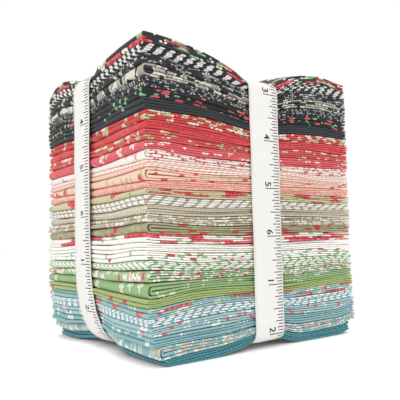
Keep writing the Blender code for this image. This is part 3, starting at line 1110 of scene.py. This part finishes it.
@dataclass
class FatQuarter:
    """One printed cotton, folded to four plies across and four passes along, in its place in the stack.

    Sizes are in metres. A zone is where along or across the stack a change comes in, and the slack is how
    far the left, right and inner turns may stay back.
    """

    row: int
    print: PrintedCotton
    stack: TiedStack
    width: float = 0.457
    length: float = 0.559
    pass_pitch: float = 0.00096
    ply_pitch: float = 0.000205
    thickness: float = 0.00017
    run_steps: int = 28
    turn_steps: int = 6
    across_steps: int = 10
    edge_wander: float = 0.0024
    end_wander: float = 0.0011
    corner_round: float = 0.0007
    corner_reach: float = 0.004
    far_bulge: float = 0.0014
    stagger: float = 0.0007
    most_slack: tuple[float, float, float] = (0.0013, 0.0004, 0.0010)
    gape: tuple[float, float] = (0.0010, 0.0018)
    turn_squeeze: float = 0.22  # of the plies' spread, lost round a turn
    edge_wave: float = 0.050
    edge_bias: float = 0.12
    end_wave: float = 0.026
    end_zone: tuple[float, float] = (0.030, 0.071)
    far_zone: tuple[float, float] = (-0.055, -0.010)
    bulge_zone: tuple[float, float] = (0.020, 0.042)
    tape_zone: tuple[float, float] = (0.011, 0.020)
    leaf_slant: float = 0.8
    row_seed: float = 7.3
    dice_seed: int = 101
    side_seeds: tuple[float, float, float, float] = (0.0, 9.0, 21.0, 35.0)  # front, back, left and right
    dice: random.Random = field(default_factory=random.Random)
    step: list[float] = field(default_factory=list)

    @property
    def node(self) -> str:
        """The name of the CAD node that this cloth stands for."""
        return f"fat_quarter_{self.row:02d}_{self.print.name}"

    def build(self) -> bpy.types.Object:
        """Folds the flat cloth and dresses it.

        Returns:
            The cloth, riding on the root body in place of its CAD node.
        """
        self.dice.seed(self.row * self.dice_seed)
        low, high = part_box(self.node)
        route = Folding.HALVED if self.row in HALVED_ROWS else Folding.ACCORDION
        self.step = [self.dice.uniform(0.0, self.stagger) for _ in range(4)]
        left, right, inner = (self.dice.uniform(0.0, most) for most in self.most_slack)
        if self.row in GAPING_ROWS:
            inner = self.dice.uniform(*self.gape)
        strip = route.value.stations(
            low[0], high[0], self.pass_pitch, (left, right, inner), self.run_steps, self.turn_steps
        )
        folds = Folding.HALVED.value.stations(
            low[1], high[1], self.ply_pitch, (0.0, 0.0, 0.0), self.across_steps, self.turn_steps
        )
        middle = self.stack.top - (self.row - 1) * self.stack.pitch - self.stack.row_height / 2

        shape = bmesh.new()
        bmesh.ops.create_grid(shape, x_segments=len(folds) - 1, y_segments=len(strip) - 1, size=1.0)
        flat = shape.loops.layers.uv.new(FLAT_CLOTH)
        spots = {}
        for vert in shape.verts:
            fold = folds[round((vert.co.x + 1) / 2 * (len(folds) - 1))]
            station = strip[round((vert.co.y + 1) / 2 * (len(strip) - 1))]
            laid = self.lay(station, fold, middle, (low, high))
            spots[vert] = (fold.length, station.length)
            if self.print.lined_up:
                # A leaf stripe lines up from fold to fold, so its print follows the faces of the stack.
                spots[vert] = (laid.x * self.leaf_slant + laid.y, laid.z - middle)
            vert.co = self.stack.settle(laid)
        flatten(shape, flat, spots)
        cloth = as_piece(shape, f"cloth_{self.row:02d}_{self.print.name}", self.print.material())
        thicken(cloth, self.thickness)
        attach(cloth, "root")
        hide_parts(self.node)
        return cloth

    def stray(self, spot: float, side: float) -> float:
        """Reads how far one side of this cloth strays at a spot along it, from about -1 to 1."""
        return noise.noise(Vector((spot, self.row * self.row_seed, side)))

    def lay(self, station: Station, fold: Station, middle: float, box: tuple) -> Vector:
        """Places one point of the folded cloth in the flat stack.

        Args:
            station: Its place along the strip.
            fold: Its place across the strip's plies.
            middle: The height of the row's middle.
            box: The CAD node's lowest and highest corner.

        Returns:
            The point, before the tapes pinch the stack.
        """
        low, high = box
        stack = self.stack
        lift = fold.height * (1 - self.turn_squeeze * station.turning)
        x = station.across + station.normal[0] * lift
        z = middle + station.height + station.normal[1] * lift
        y = fold.across
        front_seed, back_seed, left_seed, right_seed = self.side_seeds
        left, right = ramp(-x, *self.end_zone), ramp(x, *self.end_zone)
        spot, free = station.length / self.edge_wave, self.edge_wander * (1 - max(left, right))
        front = max(0.0, self.stray(spot, front_seed) + self.edge_bias)
        back = max(0.0, self.stray(spot, back_seed) + self.edge_bias)
        front = knot_at(stack.front, middle) - low[1] + front * free
        back = -knot_at(stack.front, middle) - high[1] - back * free
        share = (y - low[1]) / (high[1] - low[1])
        y += (front + self.step[0]) * (1 - share) + (back - self.step[1]) * share

        from_edge = min(share, 1 - share) * (high[1] - low[1])
        rounding = 0.0
        if from_edge < self.corner_reach:
            bend = 1 - from_edge / self.corner_reach
            rounding = self.corner_round * (1 - math.sqrt(1 - bend * bend))
        far = ramp(y, *self.far_zone)
        end = knot_at(stack.near_left, middle) * (1 - far) + knot_at(stack.far_left, middle) * far
        end -= self.far_bulge * ramp(y, *self.bulge_zone)
        spot, free = y / self.end_wave, self.end_wander * ramp(abs(y - stack.cross_y), *self.tape_zone)
        wander = self.stray(spot, left_seed) * free
        x += (end - low[0] + wander + rounding + self.step[2]) * left
        wander = self.stray(spot, right_seed) * free / 2
        x += (knot_at(stack.right, middle) - high[0] + wander - rounding - self.step[3]) * right
        return Vector((x, y, z))


# ---------------------------------------------------------------------------------------------- the tapes


def convex_outline(points: list[tuple[float, float]]) -> list[Vector]:
    """Finds the outline of a taut band round some points.

    Args:
        points: The points in the band's plane.

    Returns:
        The corners of their convex hull, anticlockwise.
    """
    ordered = sorted(set(points))
    outline = []
    for run in (ordered, ordered[::-1]):
        chain: list[tuple[float, float]] = []
        for point in run:
            while len(chain) > 1:
                (ax, az), (bx, bz) = chain[-2:]
                if (bx - ax) * (point[1] - az) - (bz - az) * (point[0] - ax) > 0:
                    break
                chain.pop()
            chain.append(point)
        outline += chain[:-1]
    return [Vector(point) for point in outline]


@dataclass
class RulerTape:
    """A closed band of printed twill tape round the stack, with a number at every inch.

    Sizes are in metres.
    """

    name: str
    plane_axis: int
    middle_line: float
    right: Vector  # towards the edge with the ticks
    stack: TiedStack
    over: float  # how far outside the stack it crosses the other tape, or 0 if it is the inner one
    mark: tuple[int, float]  # a number of inches, and the height of its tick on the seen side
    width: float = 0.020
    thickness: float = 0.0005
    stand_off: float = 0.0006
    step: float = 0.0022
    across_steps: int = 6
    number_height: float = 0.0043
    number_start: float = -0.0009
    number_before_tick: float = 0.0037
    highest_number: int = 6
    ink_lift: float = 0.00004
    ink_spread: float = 0.00009
    glyph_cut: float = 0.0005
    glyph_cuts: int = 7
    ease: float = 0.0006  # on both sides of the tape that it crosses over
    ends_taken: int = 30  # of the way across the top and bottom, for the outline
    easings: int = 3
    edge_fall: float = 0.00030
    weld: float = 0.00001
    cut_snap: float = 1e-7
    curve_steps: int = 4
    flutter: tuple[float, float, float] = (0.0004, 0.022, 0.015)  # swing, and length along and across
    flutter_seed: float = 4.0
    path: list[Vector] = field(default_factory=list)
    phase: float = 0.0

    def spread(self, along: float, height: float) -> Vector:
        """Turns a point of the tape's own plane into the stack's space.

        Args:
            along: Its place across the plane.
            height: Its height.

        Returns:
            The same point in the stack's space.
        """
        point = Vector((self.middle_line, self.middle_line, height))
        point[self.plane_axis] = along
        return point

    def lay_path(self) -> None:
        """Lays the tape's middle line round the pinched stack, from the top's middle down the seen side."""
        stack = self.stack
        points = []
        for row in range(stack.rows):
            top = stack.top - row * stack.pitch
            ends = stack.ends(self.plane_axis, top - stack.row_height / 2)
            if row in (0, stack.rows - 1):
                width, count = ends[1] - ends[0], self.ends_taken
                ends += [ends[0] + width * share / count for share in range(1, count)]
            for along in ends:
                for drop in (0.0, stack.row_height / 2, stack.row_height):
                    settled = stack.settle(self.spread(along, top - drop))
                    points.append((settled[self.plane_axis], settled.z))
        if self.over:
            half = self.width / 2 + self.ease
            over = stack.top + stack.crown + self.over
            for edge in (stack.cross_x - half, stack.cross_x + half):
                points += [(edge, over), (edge, stack.bottom - self.over)]
        even = self.resample(convex_outline(points), self.step / 4)
        for _ in range(self.easings):
            nexts = even[1:] + even[:1]
            even = [(even[at - 2] + even[at - 1] + even[at] + nexts[at]) / 4 for at in range(len(even))]
        self.path = self.resample(even, self.step)
        self.phase = self.mark[0] * INCH - self.along_at(self.mark[1])

    def resample(self, loop: list[Vector], pace: float) -> list[Vector]:
        """Spaces a closed line evenly, anticlockwise from the middle of its top.

        Args:
            loop: The line's points, anticlockwise.
            pace: About how far apart its points come.

        Returns:
            The evenly spaced points.
        """
        middle = (max(point.y for point in loop) + min(point.y for point in loop)) / 2
        begin = min(range(len(loop)), key=lambda index: abs(loop[index].x) + (loop[index].y < middle))
        line = loop[begin:] + loop[:begin] + [loop[begin]]
        lengths = [(b - a).length for a, b in zip(line, line[1:])]
        steps = round(sum(lengths) / pace)
        pace = sum(lengths) / steps
        found, index, walked = [], 0, 0.0
        for count in range(steps):
            goal = count * pace
            while walked + lengths[index] < goal:
                walked += lengths[index]
                index += 1
            found.append(line[index].lerp(line[index + 1], (goal - walked) / lengths[index]))
        return found

    @property
    def loop_length(self) -> float:
        """The tape's length once round the stack."""
        return sum((b - a).length for a, b in zip(self.path, self.path[1:] + self.path[:1]))

    def along_at(self, height: float) -> float:
        """Finds how far along the tape its seen side passes a height.

        Args:
            height: The height above the floor.

        Returns:
            The distance from the middle of the top.
        """
        pace = self.loop_length / len(self.path)
        for index, (here, after) in enumerate(zip(self.path, self.path[1:])):
            if here.x < 0 and after.y <= height <= here.y:
                return (index + (here.y - height) / (here.y - after.y)) * pace
        raise ValueError(f"{self.name} never passes {height} m")

    def place(self, along: float, across: float, lift: float) -> Vector:
        """Puts a point of the flat tape on the band.

        Args:
            along: Its distance from the middle of the top, down the seen side.
            across: Its distance from the tape's middle line, towards the edge with the ticks.
            lift: Its height above the tape's middle layer.

        Returns:
            The point in the stack's space.
        """
        count = len(self.path)
        spot = along / self.loop_length * count
        index = math.floor(spot)
        points = [self.path[(index + offset) % count] for offset in (-1, 0, 1, 2)]
        here = points[1].lerp(points[2], spot - index)
        run = (points[2] - points[0]).lerp(points[3] - points[1], spot - index).normalized()
        outward = Vector((run.y, -run.x))
        fall = -self.edge_fall * abs(2 * across / self.width) ** 3
        swing, long, wide = self.flutter
        seed = self.plane_axis * self.flutter_seed
        flutter = swing * noise.noise(Vector((along / long, across / wide, seed)))
        flat = here + outward * (self.stand_off + lift + fall + flutter)
        return self.spread(flat.x, flat.y) + self.right * across

    def build(self) -> list[bpy.types.Object]:
        """Makes the band and its printed numbers.

        Returns:
            The band and the numbers.
        """
        self.lay_path()
        shape = bmesh.new()
        bmesh.ops.create_grid(shape, x_segments=self.across_steps, y_segments=len(self.path), size=1.0)
        flat = shape.loops.layers.uv.new(FLAT_CLOTH)
        spots = {}
        for vert in shape.verts:
            across, along = -vert.co.x / 2 * self.width, (vert.co.y + 1) / 2 * self.loop_length
            spots[vert] = (self.width / 2 - across, along + self.phase)
            vert.co = self.place(along, across, 0.0)
        flatten(shape, flat, spots)
        bmesh.ops.remove_doubles(shape, verts=shape.verts, dist=self.weld)
        band = as_piece(shape, f"{self.name}_band", RulerTwill().material())
        thicken(band, self.thickness)
        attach(band, "root")
        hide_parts(self.name)
        return [band, self.build_numbers()]

    def build_numbers(self) -> bpy.types.Object:
        """Prints a number at every inch tick, in ink that lies a hair above the twill.

        Returns:
            The numbers as one thin print.
        """
        shape = bmesh.new()
        for inch in range(1, math.floor((self.loop_length + self.phase) / INCH) + 1):
            tick = inch * INCH - self.phase
            if not self.number_before_tick < tick < self.loop_length:
                continue
            glyph = self.glyph(str((inch - 1) % self.highest_number + 1))
            for vert in glyph.verts:
                along = tick - self.number_before_tick + vert.co.x
                across = self.number_start + vert.co.y
                vert.co = self.place(along, across, self.thickness / 2 + self.ink_lift)
            glyph_mesh = bpy.data.meshes.new("glyph")
            glyph.to_mesh(glyph_mesh)
            glyph.free()
            shape.from_mesh(glyph_mesh)
            bpy.data.meshes.remove(glyph_mesh)
        bmesh.ops.recalc_face_normals(shape, faces=shape.faces)
        numbers = as_piece(shape, f"{self.name}_numbers", ScreenInk().material())
        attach(numbers, "root")
        return numbers

    def glyph(self, character: str) -> bmesh.types.BMesh:
        """Draws one number flat, cut fine enough to bend with the tape.

        Args:
            character: The number.

        Returns:
            Its shape, starting at zero and as high as the tape's numbers.
        """
        curve = bpy.data.curves.new("number", "FONT")
        curve.body = character
        curve.size = self.number_height / CAPITAL_SHARE
        curve.resolution_u = self.curve_steps
        curve.offset = self.ink_spread
        text = in_scene("number", curve)
        bpy.context.view_layer.update()
        evaluated = text.evaluated_get(bpy.context.evaluated_depsgraph_get())
        mesh = bpy.data.meshes.new_from_object(evaluated)
        shape = bmesh.new()
        shape.from_mesh(mesh)
        for cut in range(1, self.glyph_cuts + 1):
            geometry = shape.verts[:] + shape.edges[:] + shape.faces[:]
            place, way = (cut * self.glyph_cut, 0.0, 0.0), (1.0, 0.0, 0.0)
            bmesh.ops.bisect_plane(shape, geom=geometry, plane_co=place, plane_no=way, dist=self.cut_snap)
        bpy.data.objects.remove(text)
        bpy.data.curves.remove(curve)
        bpy.data.meshes.remove(mesh)
        return shape


# ---------------------------------------------------------------------------------------------- the studio


@dataclass(frozen=True)
class Lamp:
    """A soft box: its name, size, power, and where it stands, aimed at the bundle's middle."""

    name: str
    size: float
    power: float
    place: tuple[float, float, float]


@dataclass
class Studio:
    """A white paper floor, soft boxes and the photograph's camera, in metres, degrees and a lens in mm."""

    heading: float = 35.84
    pitch: float = 4.25
    roll: float = -1.32
    lens: float = 47.23
    eye: tuple[float, float, float] = (-0.188, -0.2636, 0.0573)
    floor_side: float = 6.0
    aim: tuple[float, float, float] = (0.0, 0.0, 0.07)
    lamps: tuple[Lamp, ...] = (
        Lamp("key_soft_box", 0.9, 2.7, (-1.0, -0.6, 0.7)),
        Lamp("fill_soft_box", 0.9, 0.9, (0.7, -1.0, 0.5)),
        Lamp("top_soft_box", 1.0, 2.4, (0.1, 0.1, 1.3)),
    )

    def build(self) -> None:
        """Lays the floor, hangs the lamps and sets up the camera."""
        shape = bmesh.new()
        bmesh.ops.create_grid(shape, x_segments=1, y_segments=1, size=self.floor_side / 2)
        as_piece(shape, "paper_floor", StudioPaper().material())
        for lamp in self.lamps:
            light = bpy.data.lights.new(lamp.name, "AREA")
            light.size = lamp.size
            light.energy = lamp.power
            holder = in_scene(lamp.name, light)
            holder.location = lamp.place
            aim = Vector(self.aim) - Vector(lamp.place)
            holder.rotation_euler = aim.to_track_quat("-Z", "Y").to_euler()
        world = bpy.data.worlds.new("studio")
        bpy.context.scene.world = world
        world.use_nodes = True
        backdrop = world.node_tree.nodes["Background"]
        backdrop.inputs["Color"].default_value = (1.0, 1.0, 1.0, 1.0)
        backdrop.inputs["Strength"].default_value = 1.0
        bpy.context.scene.view_settings.view_transform = "Standard"
        self.place_camera()

    def place_camera(self) -> None:
        """Stands the camera at the photograph's viewing angle, with its slight roll."""
        camera = bpy.data.cameras.new("camera")
        camera.lens = self.lens
        camera.clip_start = 0.01
        holder = in_scene("camera", camera)
        level = Euler((math.radians(90 + self.pitch), 0.0, math.radians(-self.heading)))
        roll = Matrix.Rotation(math.radians(self.roll), 3, "Z")
        holder.rotation_euler = (level.to_matrix() @ roll).to_euler()
        holder.location = self.eye
        bpy.context.scene.camera = holder


def main() -> None:
    """Builds the bundle and its studio."""
    logging.basicConfig(level=logging.INFO, format="%(name)s: %(message)s")
    stack = TiedStack()
    quarters = [FatQuarter(row, cotton, stack) for row, cotton in enumerate(PRINTS, start=1)]
    for quarter, below in zip(quarters, quarters[1:] + [None]):
        cloth = quarter.build()
        log.info("folded %s", cloth.name)
    right, front = Vector((1.0, 0.0, 0.0)), Vector((0.0, -1.0, 0.0))
    for tape in (
        RulerTape("tape_front_back", 1, stack.cross_x, right, stack, 0.0, (3, 0.1342)),
        RulerTape("tape_left_right", 0, stack.cross_y, front, stack, 0.0009, (4, 0.1214)),
    ):
        band, numbers = tape.build()
        log.info("laid %s, %.3f m round, and %s", band.name, tape.loop_length, numbers.name)
    Studio().build()
    log.info("lit the studio")
    bpy.context.view_layer.update()


if __name__ == "__main__":
    main()
